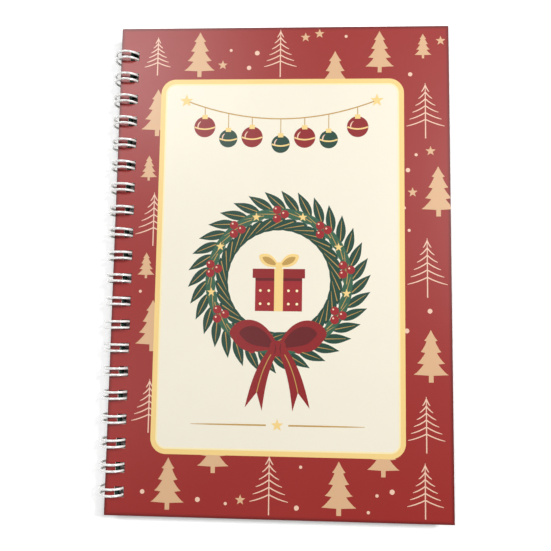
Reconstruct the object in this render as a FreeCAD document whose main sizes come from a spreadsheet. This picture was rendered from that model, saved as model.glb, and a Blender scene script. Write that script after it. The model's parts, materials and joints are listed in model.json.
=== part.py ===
import FreeCAD, Part
import math
import os
import Sketcher

# Wire-bound gift card book, closed and lying on its back cover.
# Two board covers hold a stack of leaves, each leaf with two glued card pockets.
# One continuous double-loop wire is threaded through the punched spine.
# Frame: origin under the middle of the book, +X to the fore-edge, +Y to the head, +Z up.
# All lengths are in millimetres and all angles in degrees.

# Driving dimensions
SIZES = {
    # Covers
    "cover_width": 123.0,
    "cover_height": 180.0,
    "cover_thickness": 0.5,
    # Leaves, counted from the front cover down
    "leaf_count": 5,
    "leaf_thickness": 0.3,
    "leaf_inset": 1.5,
    # Card pockets, folded from thin paper and glued down by three flaps
    "pocket_paper": 0.17,
    "pocket_depth": 48.0,
    "flap_width": 5.5,
    "thumb_radius": 9.0,
    "card_width": 85.6,
    "card_play": 1.4,
    "pocket_margin": 16.0,
    "pocket_spacing": 74.0,
    # Double-loop wire: three loops to the inch
    "wire_diameter": 0.9,
    "loop_pitch": 8.466,
    "leg_spacing": 2.25,
    "link_bend": 1.2,
    # The row of loops: the least margin at its ends, and how far it sits below the middle
    "row_margin": 9.0,
    "row_drop": 1.35,
    # Places on the loop, turned about its axis from the fore-edge side up over the top
    "link_angle": 212.0,
    "tip_angle": -107.0,
    # Where the sheets turn: the hinge line lies beside the loop's axis, towards the bound edge
    "hinge_offset": 0.75,
    "cover_reach": 1.35,
    "leaf_setback": 0.15,
    # Clearances
    "sheet_gap": 0.08,
    "cover_gap": 0.1,
    "turn_clearance": 0.15,
    "hole_side_gap": 0.25,
}

# Heights and widths worked out from the driving dimensions, taken from the loop's axis
LAYOUT = {
    # One leaf with its pocket folded flat, and half the stack of them
    "leaf_step": "Sizes.leaf_thickness + 2 * Sizes.pocket_paper + Sizes.sheet_gap",
    "stack_half": "Sizes.leaf_count * leaf_step / 2",
    # Front cover lies on the stack
    "front_bottom": "stack_half + Sizes.cover_gap",
    "front_top": "front_bottom + Sizes.cover_thickness",
    # Back cover lies clear of the front cover's bound edge as that swings underneath
    "bound_edge": "Sizes.hinge_offset + Sizes.cover_reach",
    "swing_radius": "sqrt(Sizes.cover_reach ^ 2 + front_top ^ 2)",
    "back_top": "-swing_radius - Sizes.cover_gap",
    "back_bottom": "back_top - Sizes.cover_thickness",
    # The loop goes round the back cover's lower corner
    "loop_inner": "sqrt(bound_edge ^ 2 + back_bottom ^ 2) + Sizes.turn_clearance",
    "loop_middle": "loop_inner + Sizes.wire_diameter / 2",
    "loop_outer": "loop_inner + Sizes.wire_diameter",
    "loop_x": "-(Sizes.cover_width - bound_edge - loop_outer) / 2",
    "loop_z": "loop_outer",
    # The strip between a hole and the bound edge turns about the hinge line inside the loop
    "strip_radius": "loop_inner - Sizes.hinge_offset - Sizes.turn_clearance",
    "hole_height": "Sizes.leg_spacing + Sizes.wire_diameter + 2 * Sizes.hole_side_gap",
    "loop_count": "floor((Sizes.cover_height - 2 * Sizes.row_margin) / Sizes.loop_pitch) + 1",
    "row_length": "(loop_count - 1) * Sizes.loop_pitch",
    "first_loop_y": "-Sizes.row_drop - row_length / 2",
    # Cover outline and holes
    "cover_left": "-bound_edge",
    "cover_bottom": "-Sizes.cover_height / 2",
    "cover_hole_left": "sqrt(strip_radius ^ 2 - front_top ^ 2) - Sizes.hinge_offset",
    "cover_hole_right": "sqrt(loop_outer ^ 2 - front_bottom ^ 2) + Sizes.turn_clearance",
    # Leaf outline and holes: the leaves stop short of the hinge line and inside the covers
    "leaf_left": "Sizes.leaf_setback - Sizes.hinge_offset",
    "leaf_right": "Sizes.cover_width - bound_edge - Sizes.leaf_inset",
    "leaf_width": "leaf_right - leaf_left",
    "leaf_height": "Sizes.cover_height - 2 * Sizes.leaf_inset",
    "leaf_bottom": "-leaf_height / 2",
    "leaf_hole_left": "sqrt(strip_radius ^ 2 - stack_half ^ 2) - Sizes.hinge_offset",
    "leaf_hole_right": "loop_outer + Sizes.turn_clearance",
    # Pocket, centred between the holes and the fore-edge
    "pocket_width": "Sizes.card_width + Sizes.card_play + 2 * Sizes.flap_width",
    "pocket_left": "(leaf_hole_right + leaf_right - pocket_width) / 2",
}

doc = FreeCAD.newDocument("gift_card_book")


# Spreadsheets

def fill_sheet(name, cells, as_text):
    """Write named cells, one to a row, each with its name as its alias."""
    sheet = doc.addObject("Spreadsheet::Sheet", name)
    for row, (alias, content) in enumerate(cells.items(), start=1):
        sheet.set("A%d" % row, alias)
        sheet.set("B%d" % row, as_text(content))
        sheet.setAlias("B%d" % row, alias)
    doc.recompute()
    return sheet


sizes = fill_sheet("Sizes", SIZES, str)
layout = fill_sheet("Layout", LAYOUT, lambda formula: "=" + formula)


# Sketching helpers

def new_sketch(body, name):
    """A sketch on its own body's XY plane."""
    sketch = body.newObject("Sketcher::SketchObject", name)
    plane = next(item for item in body.Origin.OriginFeatures if item.Role == "XY_Plane")
    sketch.AttachmentSupport = (plane, [""])
    sketch.MapMode = "FlatFace"
    return sketch


def bind(sketch, name, formula, *constraint):
    """Add a dimension under a name and drive it by a formula."""
    value = sketch.evalExpression(formula)
    index = sketch.addConstraint(Sketcher.Constraint(*constraint, value))
    sketch.renameConstraint(index, name)
    sketch.setExpression("Constraints." + name, formula)


def square_outline(sketch, points):
    """Draw a closed outline of level and upright lines, and return the lines' numbers."""
    ends = points[1:] + points[:1]
    vectors = [(FreeCAD.Vector(*a, 0), FreeCAD.Vector(*b, 0)) for a, b in zip(points, ends)]
    lines = sketch.addGeometry([Part.LineSegment(a, b) for a, b in vectors], False)
    for line, after, (a, b) in zip(lines, lines[1:] + lines[:1], vectors):
        sketch.addConstraint(Sketcher.Constraint("Coincident", line, 2, after, 1))
        direction = "Horizontal" if a.y == b.y else "Vertical"
        sketch.addConstraint(Sketcher.Constraint(direction, line))
    return lines


def rectangle(sketch, width, height, left=None, bottom=None):
    """Draw a rectangle driven by formulas, from the sketch's origin or from a left and bottom edge."""
    wide = sketch.evalExpression(width)
    tall = sketch.evalExpression(height)
    x = sketch.evalExpression(left) if left else 0
    y = sketch.evalExpression(bottom) if bottom else 0
    lines = square_outline(sketch, [(x, y), (x + wide, y), (x + wide, y + tall), (x, y + tall)])
    bind(sketch, "width", width, "DistanceX", lines[0], 1, lines[0], 2)
    bind(sketch, "height", height, "DistanceY", lines[1], 1, lines[1], 2)
    if left:
        bind(sketch, "left", left, "DistanceX", -1, 1, lines[0], 1)
        bind(sketch, "bottom", bottom, "DistanceY", -1, 1, lines[0], 1)
    else:
        sketch.addConstraint(Sketcher.Constraint("Coincident", lines[0], 1, -1, 1))


def new_body(name, x, y, z):
    """A body with its own label, placed by formulas."""
    body = doc.addObject("PartDesign::Body", name)
    body.Label = name
    body.setExpression("Placement.Base.x", x)
    body.setExpression("Placement.Base.y", y)
    body.setExpression("Placement.Base.z", z)
    return body


def pad(body, name, sketch, length):
    """Raise a sketch by a formula's length."""
    feature = body.newObject("PartDesign::Pad", name)
    feature.Profile = sketch
    feature.setExpression("Length", length)
    return feature


def cut_upward(body, name, sketch):
    """Cut a sketch through all that lies above it."""
    feature = body.newObject("PartDesign::Pocket", name)
    feature.Profile = sketch
    feature.Type = "ThroughAll"
    feature.Reversed = True
    return feature


# Sheets: covers and leaves

def punched_sheet(name, outline, holes, z):
    """A flat rectangular sheet with the row of square holes punched along its bound edge."""
    body = new_body(name, "Layout.loop_x + " + outline["left"], outline["bottom"], z)
    blank = new_sketch(body, name + "_outline")
    rectangle(blank, outline["width"], outline["height"])
    pad(body, name + "_blank", blank, outline["thickness"])
    doc.recompute()

    first_hole = new_sketch(body, name + "_first_hole")
    rectangle(
        first_hole,
        holes["right"] + " - " + holes["left"],
        "Layout.hole_height",
        left=holes["left"] + " - " + outline["left"],
        bottom="Layout.first_loop_y - Layout.hole_height / 2 - " + outline["bottom"],
    )
    punch = cut_upward(body, name + "_punch", first_hole)
    doc.recompute()

    row = body.newObject("PartDesign::LinearPattern", name + "_hole_row")
    row.Originals = [punch]
    row.Direction = (first_hole, ["V_Axis"])
    row.setExpression("Length", "Layout.row_length")
    row.setExpression("Occurrences", "Layout.loop_count")
    body.Tip = row
    doc.recompute()

    hole_area = body.evalExpression("(%s - %s) * Layout.hole_height" % (holes["right"], holes["left"]))
    blank_area = body.evalExpression("%s * %s" % (outline["width"], outline["height"]))
    sheet_area = blank_area - layout.get("loop_count") * hole_area
    volume = sheet_area * body.evalExpression(outline["thickness"])
    if not math.isclose(body.Shape.Volume, volume, rel_tol=1e-6):
        raise RuntimeError(name + " is not punched right")
    return body


COVER_OUTLINE = {
    "left": "Layout.cover_left",
    "bottom": "Layout.cover_bottom",
    "width": "Sizes.cover_width",
    "height": "Sizes.cover_height",
    "thickness": "Sizes.cover_thickness",
}
COVER_HOLES = {"left": "Layout.cover_hole_left", "right": "Layout.cover_hole_right"}

LEAF_OUTLINE = {
    "left": "Layout.leaf_left",
    "bottom": "Layout.leaf_bottom",
    "width": "Layout.leaf_width",
    "height": "Layout.leaf_height",
    "thickness": "Sizes.leaf_thickness",
}
LEAF_HOLES = {"left": "Layout.leaf_hole_left", "right": "Layout.leaf_hole_right"}


def leaf_height_formula(number):
    """Underside of a leaf: the first is at the top of the stack."""
    return "Layout.loop_z + Layout.stack_half - %d * Layout.leaf_step" % number


# Card pockets

def card_pocket(name, leaf_number, rise):
    """A paper panel over three flaps that are glued to the leaf, open at the head, with a thumb notch."""
    body = new_body(
        name,
        "Layout.loop_x + Layout.pocket_left",
        "Layout.leaf_bottom + " + rise,
        leaf_height_formula(leaf_number) + " + Sizes.leaf_thickness",
    )
    flaps = new_sketch(body, name + "_flap_outline")
    width = layout.get("pocket_width")
    depth = sizes.get("pocket_depth")
    flap = sizes.get("flap_width")
    outer = [(0, depth), (0, 0), (width, 0), (width, depth)]
    inner = [(width - flap, depth), (width - flap, flap), (flap, flap), (flap, depth)]
    lines = square_outline(flaps, outer + inner)
    left_side, foot, right_side, right_end, right_inner, foot_inner, left_inner, left_end = lines
    flaps.addConstraint(Sketcher.Constraint("Coincident", foot, 1, -1, 1))
    flaps.addConstraint(Sketcher.Constraint("Equal", right_end, left_end))
    bind(flaps, "width", "Layout.pocket_width", "DistanceX", foot, 1, foot, 2)
    bind(flaps, "depth", "Sizes.pocket_depth", "DistanceY", right_side, 1, right_side, 2)
    bind(flaps, "side_flap", "Sizes.flap_width", "DistanceX", right_end, 2, right_end, 1)
    bind(flaps, "foot_flap", "Sizes.flap_width", "DistanceY", foot, 2, right_inner, 2)
    flaps.addConstraint(Sketcher.Constraint("Horizontal", left_side, 1, right_side, 2))
    pad(body, name + "_flaps", flaps, "Sizes.pocket_paper")

    panel = new_sketch(body, name + "_panel_outline")
    panel.setExpression("AttachmentOffset.Base.z", "Sizes.pocket_paper")
    rectangle(panel, "Layout.pocket_width", "Sizes.pocket_depth")
    pad(body, name + "_panel", panel, "Sizes.pocket_paper")
    doc.recompute()
    whole_panel = body.Shape.Volume

    notch = new_sketch(body, name + "_notch_outline")
    centre = FreeCAD.Vector(width / 2, depth, 0)
    circle = notch.addGeometry(Part.Circle(centre, FreeCAD.Vector(0, 0, 1), sizes.get("thumb_radius")), False)
    bind(notch, "middle", "Layout.pocket_width / 2", "DistanceX", -1, 1, circle, 3)
    bind(notch, "mouth", "Sizes.pocket_depth", "DistanceY", -1, 1, circle, 3)
    bind(notch, "radius", "Sizes.thumb_radius", "Radius", circle)
    cut_upward(body, name + "_notch", notch)
    doc.recompute()
    if body.Shape.Volume >= whole_panel:
        raise RuntimeError(name + " has no thumb notch")
    return body


# Double-loop wire

class LoopWire:
    """The wire's centre line: links along the spine, and at each hole a hairpin bent round in a ring.

    A hairpin has two legs that run round the ring side by side and meet in a half-round tip.
    Every leg leaves its link in a quarter bend that lies flat against the ring.
    """

    def __init__(self):
        self.radius = layout.get("loop_middle")
        self.half_gap = sizes.get("leg_spacing") / 2
        self.bend = sizes.get("link_bend")
        self.link_angle = math.radians(sizes.get("link_angle"))
        self.tip_angle = math.radians(sizes.get("tip_angle"))
        self.edges = []

    def on_ring(self, angle, y):
        """The point of the ring at an angle, and y along the spine."""
        x = layout.get("loop_x") + self.radius * math.cos(angle)
        z = layout.get("loop_z") + self.radius * math.sin(angle)
        return FreeCAD.Vector(x, y, z)

    @staticmethod
    def onward(angle):
        """The direction that a leg runs in at an angle, from its link to its tip."""
        return FreeCAD.Vector(math.sin(angle), 0, -math.cos(angle))

    def arc(self, start, middle, end):
        self.edges.append(Part.Arc(start, middle, end).toShape())

    def link(self, start_y, end_y):
        """A straight run along the spine, one bend's radius short of the ring."""
        ring = self.on_ring(self.link_angle, 0) - self.onward(self.link_angle) * self.bend
        start = FreeCAD.Vector(ring.x, start_y, ring.z)
        end = FreeCAD.Vector(ring.x, end_y, ring.z)
        self.edges.append(Part.LineSegment(start, end).toShape())

    def quarter_bend(self, y, side, leaving):
        """The bend between a link and the leg at y: side is -1 before the loop and 1 after it."""
        centre = self.on_ring(self.link_angle, y + side * self.bend)
        back = self.onward(self.link_angle) * -self.bend
        across = FreeCAD.Vector(0, -side * self.bend, 0)
        on_link = centre + back
        on_leg = centre + across
        halfway = centre + (back + across) * math.sqrt(0.5)
        if leaving:
            self.arc(on_leg, halfway, on_link)
        else:
            self.arc(on_link, halfway, on_leg)

    def leg(self, y, first, last):
        """A leg round the ring, in two arcs of less than a half turn."""
        middle = (first + last) / 2
        for start, end in ((first, middle), (middle, last)):
            self.arc(self.on_ring(start, y), self.on_ring((start + end) / 2, y), self.on_ring(end, y))

    def hairpin(self, y):
        """One loop: a leg out, the half-round tip and a leg back."""
        before = y - self.half_gap
        after = y + self.half_gap
        self.quarter_bend(before, -1, leaving=False)
        self.leg(before, self.link_angle, self.tip_angle)
        crown = self.on_ring(self.tip_angle, y) + self.onward(self.tip_angle) * self.half_gap
        self.arc(self.on_ring(self.tip_angle, before), crown, self.on_ring(self.tip_angle, after))
        self.leg(after, self.tip_angle, self.link_angle)
        self.quarter_bend(after, 1, leaving=True)

    def path(self):
        """The whole centre line, with half a link left at each end."""
        pitch = sizes.get("loop_pitch")
        reach = self.half_gap + self.bend
        y = layout.get("first_loop_y")
        self.link(y - pitch / 2, y - reach)
        for number in range(int(layout.get("loop_count"))):
            self.hairpin(y)
            last = number == int(layout.get("loop_count")) - 1
            self.link(y + reach, y + pitch / 2 if last else y + pitch - reach)
            y += pitch
        return Part.Wire(self.edges)


def least_self_gap(path, diameter):
    """The least distance between stretches of the wire that aren't neighbours, less the wire itself."""
    spacing = diameter / 2
    points = path.discretize(Distance=spacing)
    neighbours = math.ceil(math.pi * diameter / spacing)
    # Two loops are enough, because every loop is like the next.
    reach = 2 * len(points) // int(layout.get("loop_count"))
    points = points[:reach]
    return min(
        points[i].distanceToPoint(points[j])
        for i in range(reach)
        for j in range(i + neighbours, reach)
    ) - diameter


def binding_wire():
    """A round tube carried along the centre line in one piece."""
    path = LoopWire().path()
    diameter = sizes.get("wire_diameter")
    start = path.OrderedVertexes[0].Point
    section = Part.Wire(Part.Circle(start, FreeCAD.Vector(0, 1, 0), diameter / 2).toShape())
    shell = Part.BRepOffsetAPI.MakePipeShell(path)
    shell.add(section)
    shell.build()
    shell.makeSolid()
    tube = shell.shape()
    straight_volume = math.pi * diameter ** 2 / 4 * path.Length
    print("wire length %.1f mm" % path.Length)
    print("wire volume against section times length %.4f" % (tube.Volume / straight_volume))
    print("wire least gap to itself %.3f mm" % least_self_gap(path, diameter))
    feature = doc.addObject("Part::Feature", "binding_wire")
    feature.Label = "binding_wire"
    feature.Shape = tube
    feature.Placement = FreeCAD.Placement()
    return feature


# The book

def make_book():
    """All the sub-parts, from the front cover down."""
    pieces = [
        binding_wire(),
        punched_sheet("front_cover", COVER_OUTLINE, COVER_HOLES, "Layout.loop_z + Layout.front_bottom"),
        punched_sheet("back_cover", COVER_OUTLINE, COVER_HOLES, "Layout.loop_z + Layout.back_bottom"),
    ]
    lower_rise = "Sizes.pocket_margin"
    upper_rise = "Sizes.pocket_margin + Sizes.pocket_spacing"
    for number in range(1, int(sizes.get("leaf_count")) + 1):
        height = leaf_height_formula(number)
        pieces.append(punched_sheet("leaf_%d" % number, LEAF_OUTLINE, LEAF_HOLES, height))
        pieces.append(card_pocket("upper_pocket_%d" % number, number, upper_rise))
        pieces.append(card_pocket("lower_pocket_%d" % number, number, lower_rise))
    return pieces


def check(pieces):
    """Stop if any object failed or any sub-part is empty, broken or not one solid."""
    for item in doc.Objects:
        if "Invalid" in item.State or "Error" in item.State:
            raise RuntimeError(item.Label + " failed to build")
    for piece in pieces:
        if piece.Shape.isNull() or not piece.Shape.isValid():
            raise RuntimeError(piece.Label + " has no valid shape")
        if len(piece.Shape.Solids) != 1:
            raise RuntimeError(piece.Label + " is not one solid")


book = make_book()
doc.recompute()
check(book)
os.makedirs("parts", exist_ok=True)
for piece in book:
    piece.Shape.exportStep("parts/%s.step" % piece.Label)
    box = piece.Shape.BoundBox
    corners = (box.XMin, box.XMax, box.YMin, box.YMax, box.ZMin, box.ZMax)
    print(piece.Label, "x %.3f %.3f  y %.3f %.3f  z %.3f %.3f" % corners)
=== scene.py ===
import json
import math

import bpy
import numpy as np
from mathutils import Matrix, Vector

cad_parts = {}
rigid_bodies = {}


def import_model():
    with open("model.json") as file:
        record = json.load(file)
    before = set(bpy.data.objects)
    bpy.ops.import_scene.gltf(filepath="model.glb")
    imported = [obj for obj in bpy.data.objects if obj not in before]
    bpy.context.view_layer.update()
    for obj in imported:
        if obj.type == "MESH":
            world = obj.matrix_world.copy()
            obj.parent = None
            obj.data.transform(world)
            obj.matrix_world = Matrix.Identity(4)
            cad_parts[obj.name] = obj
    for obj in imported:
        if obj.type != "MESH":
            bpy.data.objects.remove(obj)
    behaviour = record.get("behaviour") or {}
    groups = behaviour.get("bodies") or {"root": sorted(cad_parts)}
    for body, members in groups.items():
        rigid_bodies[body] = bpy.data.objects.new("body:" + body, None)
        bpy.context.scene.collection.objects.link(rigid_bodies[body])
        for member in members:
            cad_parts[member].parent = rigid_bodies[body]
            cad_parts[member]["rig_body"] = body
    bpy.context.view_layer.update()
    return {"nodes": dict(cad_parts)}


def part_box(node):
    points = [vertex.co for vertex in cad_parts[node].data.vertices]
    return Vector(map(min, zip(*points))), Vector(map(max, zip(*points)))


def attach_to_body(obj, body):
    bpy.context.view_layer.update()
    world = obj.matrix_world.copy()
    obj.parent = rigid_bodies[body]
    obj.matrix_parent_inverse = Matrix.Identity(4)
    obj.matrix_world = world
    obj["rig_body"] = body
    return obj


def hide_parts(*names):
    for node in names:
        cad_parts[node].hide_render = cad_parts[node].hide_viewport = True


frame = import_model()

# Wire-bound gift card book: printed covers, pocketed leaves and a double-loop wire spine.
# Lengths are in millimetres and become metres when a mesh is made. Colours are written as screen values.
MM = 0.001
LEAF_NUMBERS = range(1, 6)


def box_mm(node):
    """Lowest and highest corners of a node in millimetres."""
    low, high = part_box(node)
    return np.array(low) / MM, np.array(high) / MM


def flat_size(node):
    """Width and height of a flat node in millimetres."""
    low, high = box_mm(node)
    return (high - low)[:2]


COVER_LOW, COVER_HIGH = box_mm("front_cover")
WIRE_LOW, WIRE_HIGH = box_mm("binding_wire")
COVER_SIZE = flat_size("front_cover")
LEAF_SIZE = flat_size("leaf_1")
POCKET_SIZE = flat_size("upper_pocket_1")

# Double-loop wire
LOOPS = 20
WIRE_DIAMETER = 0.9
LEG_SPACING = 2.25
LINK_BEND = 1.2
LINK_ANGLE = math.radians(212)
TIP_ANGLE = math.radians(-107)
WIRE_SIDES = 14
LEG_STEPS = 54
BEND_STEPS = 8
TIP_STEPS = 12
# The most a loop leans, how that changes from loop to loop, and where on the radius a leg meets its hole
LOOP_SWAY = 0.22
SWAY_TURN = 2.4
HOLE_SHARE = 0.88

# Print on the covers, in millimetres from the bound edge and the foot
INK = 0.01
INK_SINK = 0.01
OVERLAP_TURNS = 13
CORNER_STEPS = 12
DISC_POINTS = 28
SPOT_POINTS = 10
STAR_ARMS = 5
STAR_INNER_SHARE = 0.42
PUNCHED_STRIP = 8.0
PANEL_LEFT, PANEL_RIGHT = 15.8, 106.4
PANEL_BOTTOM, PANEL_TOP = 21.7, 159.8
PANEL_CORNER = 5.5
GOLD_BAND = 1.8
PALE_BAND = 0.6

# Printed fir trees as the place of the foot's middle across and up, and the tree's height
SOLID_TREES = [
    (30.0, 160.8, 17.5), (81.0, 152.5, 18.0), (97.5, 162.2, 16.0), (113.5, 167.5, 9.5),
    (118.6, 108.0, 18.5), (115.4, 48.5, 18.5),
    (83.0, 2.0, 18.5), (98.5, 15.5, 17.0), (38.5, 15.5, 17.0), (22.5, 2.5, 18.0),
    (14.6, 138.0, 18.0), (12.0, 121.0, 9.5), (12.2, 84.5, 9.5), (15.2, 58.0, 18.5),
]
LINE_TREES = [
    (60.5, 160.6, 18.5), (114.2, 137.0, 21.0), (114.4, 78.5, 21.5), (113.6, 24.0, 19.5),
    (113.0, 1.6, 19.0), (58.5, 1.6, 20.5), (14.4, 96.5, 20.0), (14.9, 29.0, 19.0), (14.0, 161.5, 15.0),
]
# A solid tree's parts as shares of its height
TREE_WIDTH_SHARE = 0.66
TRUNK_SHARE = 0.13
TRUNK_HALF_SHARE = 0.045
TOP_HALF_SHARE = 0.004
TIP_LIFT_SHARE = 0.015
# Its tiers: each narrows by a share of the lowest, and its sides run in to a notch just short of the next
TREE_TIERS = 4
TIER_STEPS = 4
TIER_NARROWING = 0.205
TIER_HOLLOW = 1.15
TIER_REACH = 0.985
NOTCH_SHARE = 0.42
# A line tree's stroke, and its branches as shares of its height
LINE_WIDTH = 0.42
LINE_TAPER = np.array([1.0, 1.0, 0.95, 0.85, 0.5])
LINE_BRANCHES = 6
BRANCH_LOW, BRANCH_HIGH, BRANCH_NONE = 0.24, 0.86, 1.02
BRANCH_REACH = 0.33
BRANCH_LIFT, BRANCH_DROOP, BRANCH_CURL = 0.10, 0.17, 0.05

# Dots and stars between the trees
DOT_COUNT = 370
DOT_RADIUS = 0.75
DOT_SPREAD, DOT_TURN = 0.25, 2.1
DOT_POINTS = 18
STAR_EVERY = 4
STAR_RADIUS = 1.9
MOTIF_GAP = 2.3
GOLDEN_STEPS = (0.7548776662466927, 0.5698402909980532)

# Wreath in the panel
WREATH_CENTRE = np.array([61.0, 84.0])
WREATH_RADIUS = 24.5
WREATH_ROWS = [
    # name, shift outwards, lean outwards, delay in leaves, ink, level
    ("outer", 1.5, 0.62, 0.0, "deep_green", 4),
    ("inner", -1.5, -0.62, 0.0, "deep_green", 4),
    ("middle", 0.0, 0.0, 0.5, "leaf_green", 5),
]
WREATH_LEAVES = 34
WREATH_LEAF_LENGTH = 10.5
WREATH_LEAF_HALF = 1.75
WREATH_LEAF_STEPS = 15
WREATH_LEAF_SKEW = 0.8
WREATH_LEAF_TIP = 0.03
RIB_SHARES = np.linspace(0.12, 0.82, 4)
RIB_HALF_WIDTHS = np.array([0.16, 0.14, 0.11, 0.05])
BERRY_CLUSTERS = 9
BERRY_RADIUS = 1.55
BERRY_SPREAD = 1.2
BERRY_POINTS = 26
BERRY_LIGHT_RADIUS = 0.36
BERRY_LIGHT_PLACE = np.array([-0.35, 0.35])
WREATH_STAR_RADIUS = 1.7
WREATH_STAR_SHIFT = 0.4

# Bow on the wreath's foot
BOW_STEPS = 33
BOW_END = 0.02
BOW_SKEW, BOW_ROUNDING = 1.25, 0.65
BOW_DROP = 0.5
BOW_NECK = 0.16
BOW_REACH, BOW_HALF_WIDTH = 17.5, 5.6
BOW_LIFT, BOW_ARCH, BOW_ARCH_TURN = 1.0, 5.0, 1.7
BOW_LINING, BOW_LINING_KEPT, BOW_LINING_START = 0.58, 0.35, 3.0
TAIL_STEPS = 19
TAIL_NOTCH = 5
TAIL_START, TAIL_SPREAD, TAIL_CURL = 1.5, 9.5, 2.5
TAIL_FALL, TAIL_WAVE, TAIL_WAVE_TURN = 21.0, 2.0, 3.1
TAIL_HALF_WIDTH, TAIL_FLARE = 1.6, 1.5
TAIL_LINE_HALF = 0.16
KNOT_HALF_WIDTH, KNOT_BELOW, KNOT_ABOVE, KNOT_CORNER = 2.9, 2.2, 3.4, 1.9
FOLD_REACHES = np.array([1.1, 0.77, 1.1])
FOLD_HEIGHTS = np.array([-1.2, 0.6, 2.4])
FOLD_HALF_WIDTHS = np.array([0.12, 0.22, 0.12])

# Gift in the wreath
GIFT_DROP = 11.0
GIFT_WIDTH = 17.0
GIFT_WALL = 12.0
GIFT_SHADE = 1.0
GIFT_LID, GIFT_OVERHANG = 3.4, 1.0
GIFT_RIBBON_HALF = 1.6
GIFT_BOW_NECK = 0.12
GIFT_BOW_REACH, GIFT_BOW_HALF_WIDTH = 7.2, 2.1
GIFT_BOW_LIFT, GIFT_BOW_SLOPE = 0.9, 0.55
GIFT_LINING, GIFT_LINING_KEPT, GIFT_LINING_START = 0.55, 0.4, 1.6
GIFT_KNOT_LIFT, GIFT_KNOT_RADIUS = 1.1, 1.35
GIFT_SPOT_SHARES = np.array([(x, y) for x in (-0.78, -0.42, 0.42, 0.78) for y in (0.22, 0.62)])
GIFT_SPOT_RADIUS = 0.5

# Garland at the panel's head
GARLAND_LEFT, GARLAND_RIGHT = 25.5, 96.5
GARLAND_HEIGHT = 151.5
GARLAND_SAG = 7.0
GARLAND_STEPS = 41
STRING_HALF = 0.22
END_STAR_RADIUS = 2.6
BAUBLES = 7
FIRST_BAUBLE = 4
BAUBLE_RADIUS, BAUBLE_EXTRA = 3.4, 0.16
BAUBLE_POINTS = 44
THREAD_LENGTH, THREAD_EXTRA = 3.6, 2.6
THREAD_HALF = 0.15
CAP_HEIGHTS = np.array([0.7, -0.2, -0.9])
CAP_HALF = 1.0
SHINE_ANGLES = np.linspace(2.2, 3.5, 11)
SHINE_SHARE = 0.66
SHINE_HALF_WIDTHS = 0.24 * np.sin(np.linspace(0.35, 2.8, 11))
BELT_SHARES = np.linspace(-0.96, 0.96, 15)
BELT_SAG = 0.22
BELT_HALF = 0.28

# Rule at the panel's foot
RULE_HEIGHT = 32.5
RULE_GAP, RULE_REACH = 4.0, 27.0
RULE_HALF_WIDTHS = np.array([0.28, 0.28, 0.26, 0.22, 0.08])
RULE_STAR_RADIUS = 2.3

# Print on the leaves and pockets
LEAF_MARGIN, LEAF_BOUND_MARGIN = 5.0, 10.5
LEAF_LINE, LEAF_LINE_CORNER = 0.35, 3.0
NOTE_LEFT = 20.0
NOTE_RISES = (72.0, 80.0, 148.0, 157.0)
NOTE_HALF = 0.12
POCKET_LINE_INSET = 3.0
POCKET_LINE_HALF = 0.2
POCKET_STAR_SHARES = np.array([0.12, 0.31, 0.5, 0.69, 0.88])
POCKET_STAR_RISE = 0.3
POCKET_STAR_RADIUS = 2.2
POCKET_TREES = ((0.1, 9.0), (0.22, 13.0), (0.36, 10.0), (0.64, 10.0), (0.78, 13.0), (0.9, 9.0))
POCKET_TREE_RISE = 5.0

# Finishes: noise scales count waves to the metre, and lengths are in metres
GRAIN_STRETCH = (1.0, 0.35, 1.0)
CLOUD_SHARE = 0.6
CLOUD_SCALE, RIPPLE_SCALE, HANDLING_SCALE = 90.0, 700.0, 38.0
WIRE_FINE_SCALE, WIRE_DULL_SCALE = 900.0, 140.0
FILM_BUMP = {"strength": 0.08, "distance": 0.00005}
FIBRE_BUMP = {"strength": 0.25, "distance": 0.00004}
WIRE_BUMP = {"strength": 0.06, "distance": 0.00003}
# Painted shade along the covers' outline: how far in the band reaches, and how dark the red gets at the edge
EDGE_SHADE_BAND = 0.0013
EDGE_SHADE_TONE = 0.38
FACING_LIMIT = 0.5
BARE_ROUGHNESS = 0.4
PAPER_ROUGHNESS, PAPER_ROUGHNESS_SPREAD = 0.62, 0.2
WIRE_ROUGHNESS, WIRE_ROUGHNESS_SPREAD = 0.18, 0.16
WIRE_TONE, WIRE_TONE_SPREAD = 0.92, 0.16
WIRE_METAL = 0.35

# Camera and studio, in metres and degrees
IMAGE_PIXELS = 551
FOCAL_PIXELS = 600
SENSOR_MM = 36
CAMERA_PLACE = (0.01001, -0.02399, 0.22417)
CAMERA_TURN = (5.289, 2.637, 0.802)
NEAREST_SEEN = 0.01
FLOOR_HALF = 3.0
FLOOR_WHITE = 0.94
FLOOR_ROUGHNESS = 0.9
FLOOR_LIFT = 0.42
SHADOW_REACH = 0.004
FAR_REACH = 0.5
FAR_BAND = 0.35
SURROUNDINGS = 0.15
WALL_FULL, WALL_END = 0.45, 0.75
LIGHTS = {
    # name: place, width, height, radiance
    "key_softbox": ((0.50, 0.20, 0.65), 0.16, 0.16, 56.5),
    "corner_panel": ((-0.335, 0.485, 0.90), 0.30, 0.30, 11.0),
    "head_panel": ((0.385, 0.366, 0.90), 0.60, 0.40, 1.0),
    "spine_strip": ((-0.26, -0.10, 0.60), 0.08, 0.55, 2.8),
}


def screen(red, green, blue):
    """A screen colour of 0 to 255 as the linear colour that a shader takes, by the usual screen curve."""
    value = np.array([red, green, blue]) / 255
    linear = np.where(value <= 0.04045, value / 12.92, ((value + 0.055) / 1.055) ** 2.4)
    return (*linear.tolist(), 1.0)


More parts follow.
